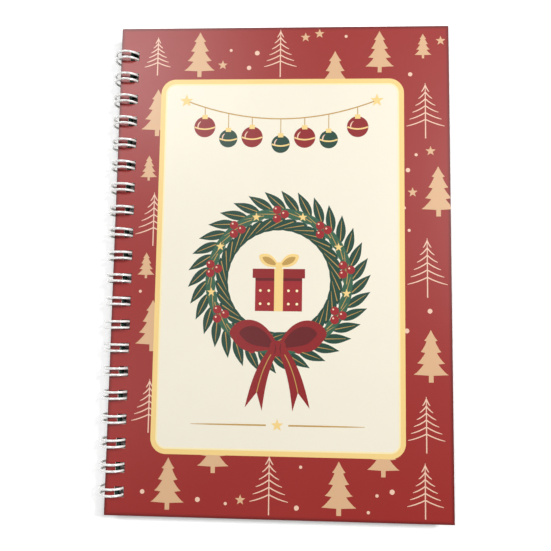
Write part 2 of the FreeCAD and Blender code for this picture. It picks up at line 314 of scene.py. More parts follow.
INKS = {
    "tan": screen(225, 182, 140),
    "pale": screen(243, 203, 178),
    "gold": screen(250, 216, 140),
    "pale_gold": screen(254, 240, 190),
    "cream": screen(247, 240, 221),
    "deep_green": screen(27, 68, 54),
    "leaf_green": screen(52, 98, 74),
    "berry": screen(160, 34, 40),
    "ribbon": screen(146, 30, 34),
    "ribbon_shade": screen(104, 20, 26),
    "old_gold": screen(196, 156, 84),
}
RED_INK = screen(158, 44, 40)
BOARD_CORE = screen(246, 242, 232)
LEAF_PAPER = screen(34, 62, 52)
LEAF_CORE = screen(30, 50, 43)
POCKET_CREAM = screen(244, 236, 218)
POCKET_RED = screen(158, 46, 46)
WIRE_SILVER = screen(251, 251, 249)


# Node helpers

def feed(tree, socket, value):
    """Give a socket its value: a link where the value is another node's output, or else a plain setting."""
    if isinstance(value, bpy.types.NodeSocket):
        tree.links.new(value, socket)
    else:
        socket.default_value = value


def add_node(tree, kind, settings=None, **inputs):
    """A node with its settings and socket values.

    In a socket's name underscores stand for spaces, and i0, i1 and i2 name sockets by their number.
    """
    node = tree.nodes.new(kind)
    for name, value in (settings or {}).items():
        setattr(node, name, value)
    for name, value in inputs.items():
        key = int(name[1:]) if name[1:].isdigit() else name.replace("_", " ")
        feed(tree, node.inputs[key], value)
    return node


def math_node(tree, operation, first, second=0.0, third=0.0):
    """The output of a Math node."""
    node = add_node(tree, "ShaderNodeMath", {"operation": operation}, i0=first, i1=second, i2=third)
    return node.outputs[0]


def object_place(tree):
    """The place on the piece."""
    return add_node(tree, "ShaderNodeTexCoord").outputs["Object"]


def noise(tree, place, scale, detail):
    """The value of a noise pattern at a place."""
    return add_node(tree, "ShaderNodeTexNoise", Vector=place, Scale=scale, Detail=detail).outputs[0]


def swung(tree, value, spread, middle):
    """A noise value as a swing about a middle: the value less a half, times the spread, plus the middle."""
    return math_node(tree, "MULTIPLY_ADD", math_node(tree, "SUBTRACT", value, 0.5), spread, middle)


def new_group(name, inputs, outputs):
    """An empty shader group with float inputs and outputs, and its two end nodes."""
    group = bpy.data.node_groups.new(name, "ShaderNodeTree")
    for label, value in inputs.items():
        socket = group.interface.new_socket(label, in_out="INPUT", socket_type="NodeSocketFloat")
        socket.default_value = value
    for label in outputs:
        group.interface.new_socket(label, in_out="OUTPUT", socket_type="NodeSocketFloat")
    return group, group.nodes.new("NodeGroupInput"), group.nodes.new("NodeGroupOutput")


def paper_grain_group():
    """Cloudy tone and fibre height of paper: a broad noise, and a fine one drawn out along the grain."""
    inputs = {"Fibre Scale": 2600.0, "Tone Spread": 0.03}
    group, given, result = new_group("paper_grain", inputs, ["Tone", "Height"])
    place = object_place(group)
    along = add_node(group, "ShaderNodeMapping", Vector=place, Scale=GRAIN_STRETCH).outputs[0]
    fibre = noise(group, along, given.outputs["Fibre Scale"], detail=4.0)
    cloud = noise(group, place, CLOUD_SCALE, detail=3.0)
    fine = math_node(group, "MULTIPLY", fibre, 1.0 - CLOUD_SHARE)
    both = math_node(group, "MULTIPLY_ADD", cloud, CLOUD_SHARE, fine)
    tone = swung(group, both, given.outputs["Tone Spread"], 1.0)
    group.links.new(tone, result.inputs["Tone"])
    group.links.new(fibre, result.inputs["Height"])
    return group


def film_gloss_group():
    """Clear film over print: faint ripples for height, and a roughness that drifts with handling."""
    inputs = {"Roughness": 0.35, "Drift": 0.08}
    group, given, result = new_group("film_gloss", inputs, ["Roughness", "Height"])
    place = object_place(group)
    ripple = noise(group, place, RIPPLE_SCALE, detail=2.0)
    drift = noise(group, place, HANDLING_SCALE, detail=4.0)
    rough = swung(group, drift, given.outputs["Drift"], given.outputs["Roughness"])
    group.links.new(rough, result.inputs["Roughness"])
    group.links.new(ripple, result.inputs["Height"])
    return group


def sheet_sides_group():
    """Masks of a flat sheet, by the way it faces: its upper face, its lower face and its cut walls."""
    group, _, result = new_group("sheet_sides", {}, ["Upper", "Lower", "Wall"])
    facing = add_node(group, "ShaderNodeTexCoord").outputs["Normal"]
    upright = add_node(group, "ShaderNodeSeparateXYZ", Vector=facing).outputs["Z"]
    upper = math_node(group, "GREATER_THAN", upright, FACING_LIMIT)
    lower = math_node(group, "LESS_THAN", upright, -FACING_LIMIT)
    wall = math_node(group, "SUBTRACT", math_node(group, "SUBTRACT", 1.0, upper), lower)
    group.links.new(upper, result.inputs["Upper"])
    group.links.new(lower, result.inputs["Lower"])
    group.links.new(wall, result.inputs["Wall"])
    return group


def trimmed_edge_group():
    """A mask along a sheet's outline.

    It is one less the distance in from the nearest edge over the band's width, kept from nothing to one.
    """
    inputs = {"Left": 0.0, "Right": 0.0, "Bottom": 0.0, "Top": 0.0, "Band": 0.0005}
    group, given, result = new_group("trimmed_edge", inputs, ["Edge"])
    parts = add_node(group, "ShaderNodeSeparateXYZ", Vector=object_place(group))
    gaps = [
        math_node(group, "SUBTRACT", parts.outputs["X"], given.outputs["Left"]),
        math_node(group, "SUBTRACT", given.outputs["Right"], parts.outputs["X"]),
        math_node(group, "SUBTRACT", parts.outputs["Y"], given.outputs["Bottom"]),
        math_node(group, "SUBTRACT", given.outputs["Top"], parts.outputs["Y"]),
    ]
    across = math_node(group, "MINIMUM", gaps[0], gaps[1])
    up = math_node(group, "MINIMUM", gaps[2], gaps[3])
    nearest = math_node(group, "MINIMUM", across, up)
    share = math_node(group, "SUBTRACT", 1.0, math_node(group, "DIVIDE", nearest, given.outputs["Band"]))
    group.links.new(add_node(group, "ShaderNodeClamp", Value=share).outputs[0], result.inputs["Edge"])
    return group


PAPER_GRAIN = paper_grain_group()
FILM_GLOSS = film_gloss_group()
SHEET_SIDES = sheet_sides_group()
TRIMMED_EDGE = trimmed_edge_group()


def place_group(tree, group, **inputs):
    """One use of a shader group, with its own values."""
    node = tree.nodes.new("ShaderNodeGroup")
    node.node_tree = group
    for name, value in inputs.items():
        feed(tree, node.inputs[name.replace("_", " ")], value)
    return node


def tinted(tree, colour, tone):
    """A colour multiplied by a tone that changes over the surface."""
    shade = add_node(tree, "ShaderNodeVectorMath", {"operation": "SCALE"}, i0=colour[:3], Scale=tone)
    return shade.outputs[0]


def mixed(tree, factor, first, second):
    """Two colours mixed by a mask."""
    node = tree.nodes.new("ShaderNodeMix")
    node.data_type = "RGBA"
    colours = {socket.name: socket for socket in node.inputs if socket.type == "RGBA"}
    feed(tree, node.inputs[0], factor)
    feed(tree, colours["A"], first)
    feed(tree, colours["B"], second)
    return next(socket for socket in node.outputs if socket.type == "RGBA")


def new_material(name):
    """A material with an empty Principled shader, and its tree."""
    material = bpy.data.materials.new(name)
    material.use_nodes = True
    tree = material.node_tree
    return material, tree, tree.nodes["Principled BSDF"]


def bumped(tree, shader, height, strength, distance):
    """A height joined to the shader's normal."""
    bump = add_node(tree, "ShaderNodeBump", Strength=strength, Distance=distance, Height=height)
    tree.links.new(bump.outputs[0], shader.inputs["Normal"])


# Materials

def ink_material(name, colour):
    """Printed ink under clear film: paper cloudiness shows in the tone, the film gives the gloss."""
    material, tree, shader = new_material(name)
    grain = place_group(tree, PAPER_GRAIN, Tone_Spread=0.05)
    film = place_group(tree, FILM_GLOSS)
    tree.links.new(tinted(tree, colour, grain.outputs["Tone"]), shader.inputs["Base Color"])
    tree.links.new(film.outputs["Roughness"], shader.inputs["Roughness"])
    bumped(tree, shader, film.outputs["Height"], **FILM_BUMP)
    return material


def cover_material(name, printed_face):
    """Board with filmed red print on its outer face, darkened by painted shade along the trimmed edge, and
    bare paper elsewhere.
    """
    material, tree, shader = new_material(name)
    grain = place_group(tree, PAPER_GRAIN, Tone_Spread=0.06)
    film = place_group(tree, FILM_GLOSS)
    outer = place_group(tree, SHEET_SIDES).outputs[printed_face]
    edge = place_group(
        tree, TRIMMED_EDGE, Left=COVER_LOW[0] * MM, Right=COVER_HIGH[0] * MM,
        Bottom=COVER_LOW[1] * MM, Top=COVER_HIGH[1] * MM, Band=EDGE_SHADE_BAND,
    )
    tone = grain.outputs["Tone"]
    red = tinted(tree, RED_INK, tone)
    # Painted shade: the red is darkened towards the covers' outline
    painted_edge_shade = tinted(tree, RED_INK, math_node(tree, "MULTIPLY", tone, EDGE_SHADE_TONE))
    print_red = mixed(tree, edge.outputs["Edge"], red, painted_edge_shade)
    paper = tinted(tree, BOARD_CORE, tone)
    tree.links.new(mixed(tree, outer, paper, print_red), shader.inputs["Base Color"])
    bare = math_node(tree, "SUBTRACT", 1.0, outer)
    rough = math_node(tree, "MULTIPLY_ADD", bare, BARE_ROUGHNESS, film.outputs["Roughness"])
    tree.links.new(rough, shader.inputs["Roughness"])
    bumped(tree, shader, film.outputs["Height"], **FILM_BUMP)
    return material


def paper_material(name, colour, core):
    """Uncoated paper: fibre height, cloudy tone and a plain cut edge."""
    material, tree, shader = new_material(name)
    grain = place_group(tree, PAPER_GRAIN, Tone_Spread=0.08)
    fibre = grain.outputs["Height"]
    wall = place_group(tree, SHEET_SIDES).outputs["Wall"]
    face = tinted(tree, colour, grain.outputs["Tone"])
    tree.links.new(mixed(tree, wall, face, core), shader.inputs["Base Color"])
    rough = math_node(tree, "MULTIPLY_ADD", fibre, PAPER_ROUGHNESS_SPREAD, PAPER_ROUGHNESS)
    tree.links.new(rough, shader.inputs["Roughness"])
    bumped(tree, shader, fibre, **FIBRE_BUMP)
    return material


def wire_material():
    """White-silver wire: part metal, finely uneven in its roughness, with faint dull spots in its tone."""
    material, tree, shader = new_material("plated_wire")
    place = object_place(tree)
    fine = noise(tree, place, WIRE_FINE_SCALE, detail=5.0)
    dull = noise(tree, place, WIRE_DULL_SCALE, detail=2.0)
    shader.inputs["Metallic"].default_value = WIRE_METAL
    tone = math_node(tree, "MULTIPLY_ADD", dull, WIRE_TONE_SPREAD, WIRE_TONE)
    tree.links.new(tinted(tree, WIRE_SILVER, tone), shader.inputs["Base Color"])
    rough = math_node(tree, "MULTIPLY_ADD", fine, WIRE_ROUGHNESS_SPREAD, WIRE_ROUGHNESS)
    tree.links.new(rough, shader.inputs["Roughness"])
    bumped(tree, shader, fine, **WIRE_BUMP)
    return material


def assign(node, material):
    """Give a CAD node's object one material."""
    piece = frame["nodes"][node]
    piece.data.materials.clear()
    piece.data.materials.append(material)


# Meshes

def carried(name, sections, material, closed=False, smooth=False):
    """A profile carried along a path, once for each copy.

    sections[copy, step, point] are places in millimetres. Each step's profile is joined to the next by quads
    that face outwards, and the first and last profiles close the ends unless the path closes on itself.
    """
    copies, steps, points = sections.shape[:3]
    index = np.arange(copies * steps * points).reshape(copies, steps, points)
    before = index if closed else index[:, :-1]
    after = np.roll(index, -1, axis=1) if closed else index[:, 1:]
    quads = np.stack([before, after, np.roll(after, -1, axis=2), np.roll(before, -1, axis=2)], axis=-1)
    faces = quads.reshape(-1, 4).tolist()
    if not closed:
        faces += index[:, 0].tolist() + index[:, -1, ::-1].tolist()
    mesh = bpy.data.meshes.new(name)
    mesh.from_pydata((sections.reshape(-1, 3) * MM).tolist(), [], faces)
    mesh.materials.append(material)
    if smooth:
        mesh.shade_smooth()
    else:
        mesh.shade_flat()
    piece = bpy.data.objects.new(name, mesh)
    bpy.context.scene.collection.objects.link(piece)
    return piece


def at_height(flat, height):
    """Flat places with a height added, one for all or one for each copy."""
    height = np.broadcast_to(np.reshape(height, (-1, 1, 1)[:flat.ndim]), (*flat.shape[:-1], 1))
    return np.concatenate([flat, height], axis=-1)


def attach(piece, node):
    """Make a piece ride on a node's body."""
    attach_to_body(piece, frame["nodes"][node]["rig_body"])


def printed(name, outlines, material, level=1, sheet="front_cover", side=1):
    """Flat shapes of ink on a sheet: each outline carried straight down through the ink's thickness.

    outlines[copy, point] run anticlockwise, in millimetres from the sheet's bound edge and foot. The level
    counts the layers of ink from the sheet outwards.
    """
    low, high = box_mm(sheet)
    flat = outlines + low[:2]
    # Copies that overlap take turns in height, so that no two faces lie in one plane.
    proud = INK * (level + np.arange(len(flat)) % OVERLAP_TURNS / OVERLAP_TURNS)
    top = high[2] + proud if side > 0 else low[2] + INK_SINK
    bottom = high[2] - INK_SINK if side > 0 else low[2] - proud
    sections = np.stack([at_height(flat, top), at_height(flat, bottom)], axis=1)
    attach(carried(name, sections, material), sheet)


# Flat outlines

def at(across, up):
    """Places given by how far across and how far up they lie."""
    return np.stack(np.broadcast_arrays(across, up), axis=-1)


def directions(angles):
    """Steps of one unit at the given angles."""
    return at(np.cos(angles), np.sin(angles))


def both_sides(across, up):
    """Places to the left and to the right of a middle line, as two copies that mirror each other."""
    return np.stack([at(-across, up), at(across, up)])


def copied(outline, centres, sizes):
    """An outline of one unit, once at each centre and in each size."""
    return np.asarray(centres, float)[:, None] + np.asarray(sizes, float).reshape(-1, 1, 1) * outline


def disc(centres, radius, points=DISC_POINTS):
    """Circles: points at equal angles round each centre."""
    return copied(directions(np.linspace(0, 2 * math.pi, points, endpoint=False)), centres, radius)


def star(centres, radius):
    """Stars: the radius swings between its full length and a share of it from one point to the next."""
    corner = np.arange(2 * STAR_ARMS)
    reach = np.where(corner % 2 == 0, 1.0, STAR_INNER_SHARE)
    ring = reach[:, None] * directions(math.pi / 2 + corner * math.pi / STAR_ARMS)
    return copied(ring, centres, radius)


def ribbon(paths, half_widths):
    """Strokes: each path offset to its right going out and to its left coming back.

    paths[copy, step] are places, and the stroke's half width is one for all or one for each step.
    """
    along = np.gradient(paths, axis=1)
    along /= np.linalg.norm(along, axis=-1, keepdims=True)
    right = at(along[..., 1], -along[..., 0]) * np.asarray(half_widths)[..., None]
    return np.concatenate([paths + right, (paths - right)[:, ::-1]], axis=1)


def rectangle(left, right, bottom, top):
    """A square-cornered outline."""
    return np.array([[[left, bottom], [right, bottom], [right, top], [left, top]]], float)


def rounded_rectangle(left, right, bottom, top, corner):
    """A rectangle with quarter-round corners, anticlockwise from its right side."""
    quarter = corner * directions(np.linspace(0, math.pi / 2, CORNER_STEPS))
    turn = np.array([[0, 1], [-1, 0]])
    centres = [
        (right - corner, top - corner), (left + corner, top - corner),
        (left + corner, bottom + corner), (right - corner, bottom + corner),
    ]
    rounds = [quarter @ np.linalg.matrix_power(turn, k) + centre for k, centre in enumerate(centres)]
    return np.concatenate(rounds)


def border(name, left, right, bottom, top, corner, width, material, level=1, sheet="front_cover"):
    """A frame line: a flat bar of ink carried round a rounded rectangle and closed on itself."""
    low, high = box_mm(sheet)
    inside = (left + width, right - width, bottom + width, top - width)
    outer = rounded_rectangle(left, right, bottom, top, corner) + low[:2]
    inner = rounded_rectangle(*inside, max(corner - width, INK)) + low[:2]
    sunk, proud = high[2] - INK_SINK, high[2] + INK * level
    bar = [at_height(*edge) for edge in ((outer, sunk), (outer, proud), (inner, proud), (inner, sunk))]
    attach(carried(name, np.stack(bar, axis=1)[None], material, closed=True), sheet)


def fir_outline():
    """A fir tree one unit tall, standing on the origin.

    Above a straight trunk each tier narrows from its branch tips to the next tier's notch, a little hollow.
    The half width falls evenly from tier to tier, and both sides mirror each other.
    """
    tier = np.repeat(np.arange(TREE_TIERS), TIER_STEPS + 1)
    step = np.tile(np.linspace(0, 1, TIER_STEPS + 1), TREE_TIERS)
    tier_height = (1 - TRUNK_SHARE) / TREE_TIERS
    widest = TREE_WIDTH_SHARE / 2 * (1 - TIER_NARROWING * tier)
    notch = np.where(tier == TREE_TIERS - 1, TOP_HALF_SHARE, widest * NOTCH_SHARE)
    half = notch + (widest - notch) * (1 - step) ** TIER_HOLLOW
    lift = TIP_LIFT_SHARE * (step == 0)
    height = TRUNK_SHARE + tier_height * (tier + step * TIER_REACH) + lift
    trunk = at(TRUNK_HALF_SHARE, np.array([0.0, TRUNK_SHARE]))
    side = np.concatenate([trunk, at(half, height)])
    return np.concatenate([side, side[::-1] * (-1, 1)])


def fir_trees(places, limit):
    """Fir trees of given heights at given feet, cut off where they pass the sheet's fore-edge or head."""
    places = np.asarray(places, float)
    return np.minimum(copied(fir_outline(), places[:, :2], places[:, 2]), limit - INK)


def line_tree_strokes(places):
    """Line-drawn firs: an upright stem, and pairs of branches that droop and lengthen towards the foot."""
    places = np.asarray(places, float)
    share = np.linspace(0, 1, len(LINE_TAPER))
    level = np.linspace(BRANCH_LOW, BRANCH_HIGH, LINE_BRANCHES)[:, None]
    reach = BRANCH_REACH * (BRANCH_NONE - level) / (BRANCH_NONE - BRANCH_LOW)
    height = level + BRANCH_LIFT - BRANCH_DROOP * share + BRANCH_CURL * share ** 2
    strokes = np.concatenate([at(0.0, share)[None], *both_sides(reach * share, height)])
    paths = copied(strokes.reshape(-1, 2), places[:, :2], places[:, 2])
    return ribbon(paths.reshape(-1, len(share), 2), LINE_WIDTH / 2 * LINE_TAPER)


def panel_edges(inset):
    """Left, right, bottom and top of the panel, drawn in by an inset."""
    return PANEL_LEFT + inset, PANEL_RIGHT - inset, PANEL_BOTTOM + inset, PANEL_TOP - inset


def scattered(count):
    """Places spread evenly over a cover by the golden-ratio sequence in two directions."""
    number = np.arange(1, count + 1)[:, None]
    return (number * np.array(GOLDEN_STEPS)) % 1 * COVER_SIZE


def clear_of_trees(places):
    """The places that keep the motifs' gap from a cover's edges, its punched strip and every tree's box."""
    lowest = np.array([PUNCHED_STRIP, 0.0]) + MOTIF_GAP
    inside = ((places > lowest) & (places < COVER_SIZE - MOTIF_GAP)).all(axis=1)
    trees = np.array(SOLID_TREES + LINE_TREES)
    half_height = trees[:, 2] / 2
    beside = np.abs(places[:, None, 0] - trees[:, 0]) > TREE_WIDTH_SHARE * half_height + MOTIF_GAP
    above = np.abs(places[:, None, 1] - trees[:, 1] - half_height) > half_height + MOTIF_GAP
    return places[inside & (beside | above).all(axis=1)]


def off_panel(places):
    """A mask of the places that show beside the panel, in whole or in part."""
    left, right, bottom, top = panel_edges(STAR_RADIUS)
    across, up = places.T
    return ~((across > left) & (across < right) & (up > bottom) & (up < top))


# The wire

def wire_sections():
    """The tube round the wire's centre line, step by step.

    A loop starts half-way along a link, turns a quarter circle onto the ring, follows the ring to the tip,
    goes round the tip's half circle and comes back the same way. On the ring the tube's first direction is
    the radius, and on links, bends and tips it is the radius where they leave the ring. The second
    direction is square to that and to the path.
    """
    radius = (WIRE_HIGH[0] - WIRE_LOW[0] - WIRE_DIAMETER) / 2
    axis_x = (WIRE_HIGH[0] + WIRE_LOW[0]) / 2
    axis_z = (WIRE_HIGH[2] + WIRE_LOW[2]) / 2
    pitch = (WIRE_HIGH[1] - WIRE_LOW[1]) / LOOPS
    half = LEG_SPACING / 2
    along = np.array([0.0, 1.0, 0.0])

    def outward(angle):
        """One unit out along the ring's radius at an angle."""
        return np.stack([np.cos(angle), 0 * angle, np.sin(angle)], axis=-1)

    def onward(angle):
        """One unit along the ring at an angle, from the link towards the tip."""
        return np.stack([np.sin(angle), 0 * angle, -np.cos(angle)], axis=-1)

    link, tip = np.array(LINK_ANGLE), np.array(TIP_ANGLE)
    bend = np.linspace(0, math.pi / 2, BEND_STEPS)[:, None]
    sweep = np.linspace(LINK_ANGLE, TIP_ANGLE, LEG_STEPS)
    crown = np.linspace(0, math.pi, TIP_STEPS)[:, None]
    base = radius * outward(link)
    end = radius * outward(tip)
    leg = radius * outward(sweep)

    # Each stretch gives its places, its directions and its first section direction.
    link_place = (base - LINK_BEND * onward(link) - along * pitch / 2)[None]
    aside = along * (half + LINK_BEND)
    bend_in = base - aside + LINK_BEND * (np.sin(bend) * along - np.cos(bend) * onward(link))
    bend_in_way = np.sin(bend) * onward(link) + np.cos(bend) * along
    tip_round = end + half * (np.sin(crown) * onward(tip) - np.cos(crown) * along)
    tip_way = np.cos(crown) * onward(tip) + np.sin(crown) * along
    bend_out = base + aside - LINK_BEND * (np.sin(bend) * onward(link) + np.cos(bend) * along)
    bend_out_way = np.sin(bend) * along - np.cos(bend) * onward(link)
    stretches = [
        (link_place, along[None], outward(link)[None]),
        (bend_in, bend_in_way, outward(link)[None] + 0 * bend),
        (leg[1:-1] - along * half, onward(sweep)[1:-1], outward(sweep)[1:-1]),
        (tip_round, tip_way, outward(tip)[None] + 0 * crown),
        (leg[-2:0:-1] + along * half, -onward(sweep)[-2:0:-1], outward(sweep)[-2:0:-1]),
        (bend_out, bend_out_way, outward(link)[None] + 0 * bend),
    ]
    place, way, first = (np.concatenate(part) for part in zip(*stretches))
    number = np.arange(LOOPS)
    middle = WIRE_LOW[1] + pitch * (number + 0.5)
    centre = np.stack([np.full(LOOPS, axis_x), middle, np.full(LOOPS, axis_z)], axis=-1)
    # A loop leans a little to one side of its hole, by nothing at the hole and most at the far side.
    sway = LOOP_SWAY * np.sin(number * SWAY_TURN) * np.sin(math.pi * number / (LOOPS - 1))
    lean = sway[:, None] * (HOLE_SHARE - place[:, 0] / radius) / 2
    path = (centre[:, None] + place + lean[..., None] * along).reshape(-1, 3)
    path = np.concatenate([path, centre[-1:] + link_place + along * pitch])
    way = np.concatenate([np.tile(way, (LOOPS, 1)), along[None]])
    first = np.concatenate([np.tile(first, (LOOPS, 1)), outward(link)[None]])
    second = np.cross(first, way)
    round_angle = np.linspace(0, 2 * math.pi, WIRE_SIDES, endpoint=False)[:, None]
    section = np.cos(round_angle) * first[:, None] + np.sin(round_angle) * second[:, None]
    return (path[:, None] + WIRE_DIAMETER / 2 * section)[None]


def make_wire():
    """The whole spine wire as one tube, shown in place of its solid."""
    wire = carried("spine_wire", wire_sections(), wire_material(), smooth=True)
    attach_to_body(wire, "binding")
    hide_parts("binding_wire")


# Printed covers

def print_scatter(prefix, sheet, side, inks):
    """Fir trees, line trees, dots and stars over a whole cover, without those hidden under the panel."""
    printed(prefix + "_fir_trees", fir_trees(SOLID_TREES, COVER_SIZE), inks["tan"], sheet=sheet, side=side)
    printed(prefix + "_line_trees", line_tree_strokes(LINE_TREES), inks["pale"], sheet=sheet, side=side)
    places = clear_of_trees(scattered(DOT_COUNT))
    starred = np.arange(len(places)) % STAR_EVERY == 0
    stars, dots = places[starred], places[~starred]
    sizes = DOT_RADIUS * (1 + DOT_SPREAD * np.sin(np.arange(len(dots)) * DOT_TURN))
    if sheet == "front_cover":
        shown = off_panel(dots)
        stars, dots, sizes = stars[off_panel(stars)], dots[shown], sizes[shown]
    printed(prefix + "_stars", star(stars, STAR_RADIUS), inks["tan"], sheet=sheet, side=side)
    printed(prefix + "_dots", disc(dots, sizes, DOT_POINTS), inks["pale"], sheet=sheet, side=side)


def print_panel(inks):
    """Cream panel with a gold frame and a paler line inside it."""
    inset = GOLD_BAND - INK
    border("panel_gold_frame", *panel_edges(0.0), PANEL_CORNER, GOLD_BAND, inks["gold"], level=3)
    corner = PANEL_CORNER - inset
    border("panel_pale_line", *panel_edges(inset), corner, PALE_BAND, inks["pale_gold"], level=4)
    field = rounded_rectangle(*panel_edges(INK), PANEL_CORNER)
    printed("panel_cream_field", field[None], inks["cream"], level=2)


def on_wreath(angles, shift=0.0):
    """Places on the wreath's ring at given angles, shifted outwards."""
    return WREATH_CENTRE + (WREATH_RADIUS + shift) * directions(angles)


def leaf_outlines(roots, ways):
    """Pointed leaves: a straight rib from each root with a half width that swells and closes like a sine."""
    share = np.linspace(0, 1, WREATH_LEAF_STEPS)
    paths = roots[:, None] + share[:, None] * WREATH_LEAF_LENGTH * ways[:, None]
    swell = np.maximum(np.sin(math.pi * share ** WREATH_LEAF_SKEW), WREATH_LEAF_TIP)
    return ribbon(paths, WREATH_LEAF_HALF * swell)


def print_wreath(inks):
    """A round wreath: three rows of leaves turned out, along and in, with ribs, berries and small stars."""
    for row, shift, lean, delay, ink, level in WREATH_ROWS:
        turned = (np.arange(WREATH_LEAVES) + delay) * 2 * math.pi / WREATH_LEAVES
        roots = on_wreath(turned, shift)
        ways = directions(turned + math.pi / 2 - lean)
        printed("wreath_%s_leaves" % row, leaf_outlines(roots, ways), inks[ink], level)
        ribs = roots[:, None] + RIB_SHARES[:, None] * WREATH_LEAF_LENGTH * ways[:, None]
        printed("wreath_%s_ribs" % row, ribbon(ribs, RIB_HALF_WIDTHS), inks["old_gold"], level + 1)
    cluster = np.arange(BERRY_CLUSTERS) * 2 * math.pi / BERRY_CLUSTERS + math.pi / 2
    trio = disc(np.zeros((1, 2)), BERRY_RADIUS * BERRY_SPREAD, 3)[0]
    berries = (on_wreath(cluster)[:, None] + trio).reshape(-1, 2)
    lights = berries + BERRY_RADIUS * BERRY_LIGHT_PLACE
    between = on_wreath(cluster + math.pi / BERRY_CLUSTERS, WREATH_STAR_SHIFT)
    printed("wreath_berries", disc(berries, BERRY_RADIUS, BERRY_POINTS), inks["berry"], level=7)
    printed("wreath_berry_lights", disc(lights, BERRY_LIGHT_RADIUS, SPOT_POINTS), inks["pale"], level=8)
    printed("wreath_stars", star(between, WREATH_STAR_RADIUS), inks["gold"], level=7)


def bow_loop(neck):
    """A bow's loop along its middle line: the share of the way out, and the share of the widest half width.

    The steps lie closer at both ends, and the width swells from a narrow neck and closes in a round end.
    """
    share = (1 - np.cos(np.linspace(0, math.pi, BOW_STEPS))) / 2
    least = np.where(share < 0.5, neck, BOW_END)
    return share, np.maximum(np.sin(math.pi * share ** BOW_SKEW) ** BOW_ROUNDING, least)


def bow_reach(share, size, reach, kept, start):
    """How far out a bow's loop lies: a smaller lining keeps a share of the reach and starts farther out."""
    return reach * share * (kept + (1 - kept) * size) + (1 - size) * start


def print_bow(inks):
    """A ribbon bow on the wreath's foot: two loops, two notched tails and a knot.

    A loop is a path out from the knot with a half width that swells and closes. Its lining is the same,
    smaller.
    """
    knot = WREATH_CENTRE - (0.0, WREATH_RADIUS + BOW_DROP)
    share, swell = bow_loop(BOW_NECK)
    rise = BOW_ARCH * np.sin(share * BOW_ARCH_TURN) + BOW_LIFT
    layers = (("loops", 1.0, "ribbon", 10), ("linings", BOW_LINING, "ribbon_shade", 11))
    for name, size, ink, level in layers:
        out = bow_reach(share, size, BOW_REACH, BOW_LINING_KEPT, BOW_LINING_START)
        loops = ribbon(knot + both_sides(out, rise), BOW_HALF_WIDTH * size * swell)
        printed("bow_" + name, loops, inks[ink], level)
    fall = np.linspace(0, 1, TAIL_STEPS)
    out = TAIL_START + TAIL_SPREAD * fall - TAIL_CURL * fall ** 2
    tails = knot + both_sides(out, -TAIL_FALL * fall + TAIL_WAVE * np.sin(fall * TAIL_WAVE_TURN))
    cut = ribbon(tails, TAIL_HALF_WIDTH + TAIL_FLARE * fall)
    notch = tails[:, -TAIL_NOTCH, None]
    cut = np.concatenate([cut[:, :TAIL_STEPS], notch, cut[:, TAIL_STEPS:]], axis=1)
    printed("bow_tails", cut, inks["ribbon"], level=9)
    printed("bow_tail_lines", ribbon(tails[:, :1 - TAIL_NOTCH], TAIL_LINE_HALF), inks["old_gold"], level=10)
    left, right = knot[0] - KNOT_HALF_WIDTH, knot[0] + KNOT_HALF_WIDTH
    wrap = rounded_rectangle(left, right, knot[1] - KNOT_BELOW, knot[1] + KNOT_ABOVE, KNOT_CORNER)
    printed("bow_knot", wrap[None], inks["ribbon"], level=12)
    folds = ribbon(knot + both_sides(FOLD_REACHES, FOLD_HEIGHTS), FOLD_HALF_WIDTHS)
    printed("bow_knot_folds", folds, inks["ribbon_shade"], level=13)


def print_gift(inks):
    """A wrapped box in the wreath: walls, lid and gold ribbon about an upright middle, and a small bow."""
    middle, foot = WREATH_CENTRE - (0.0, GIFT_DROP)
    half = GIFT_WIDTH / 2
    rim = foot + GIFT_WALL
    top = rim + GIFT_LID
    left, right = middle - half, middle + half
    lid = rectangle(left - GIFT_OVERHANG, right + GIFT_OVERHANG, rim, top)
    band = rectangle(middle - GIFT_RIBBON_HALF, middle + GIFT_RIBBON_HALF, foot, top)
    printed("gift_walls", rectangle(left, right, foot, rim), inks["berry"], level=4)
    printed("gift_shade", rectangle(left, right, rim - GIFT_SHADE, rim), inks["ribbon_shade"], level=5)
    printed("gift_lid", lid, inks["ribbon"], level=6)
    printed("gift_ribbon", band, inks["gold"], level=7)
    share, swell = bow_loop(GIFT_BOW_NECK)
    layers = (("loops", 1.0, "gold", 8), ("linings", GIFT_LINING, "old_gold", 9))
    for name, size, ink, level in layers:
        out = bow_reach(share, size, GIFT_BOW_REACH, GIFT_LINING_KEPT, GIFT_LINING_START)
        paths = (middle, top) + both_sides(out, GIFT_BOW_LIFT + GIFT_BOW_SLOPE * out)
        printed("gift_bow_" + name, ribbon(paths, GIFT_BOW_HALF_WIDTH * size * swell), inks[ink], level)
    knot = disc([(middle, top + GIFT_KNOT_LIFT)], GIFT_KNOT_RADIUS)
    printed("gift_bow_knot", knot, inks["gold"], level=10)
    spots = (middle, foot) + GIFT_SPOT_SHARES * (half, GIFT_WALL)
    printed("gift_spots", disc(spots, GIFT_SPOT_RADIUS, SPOT_POINTS), inks["pale_gold"], level=5)


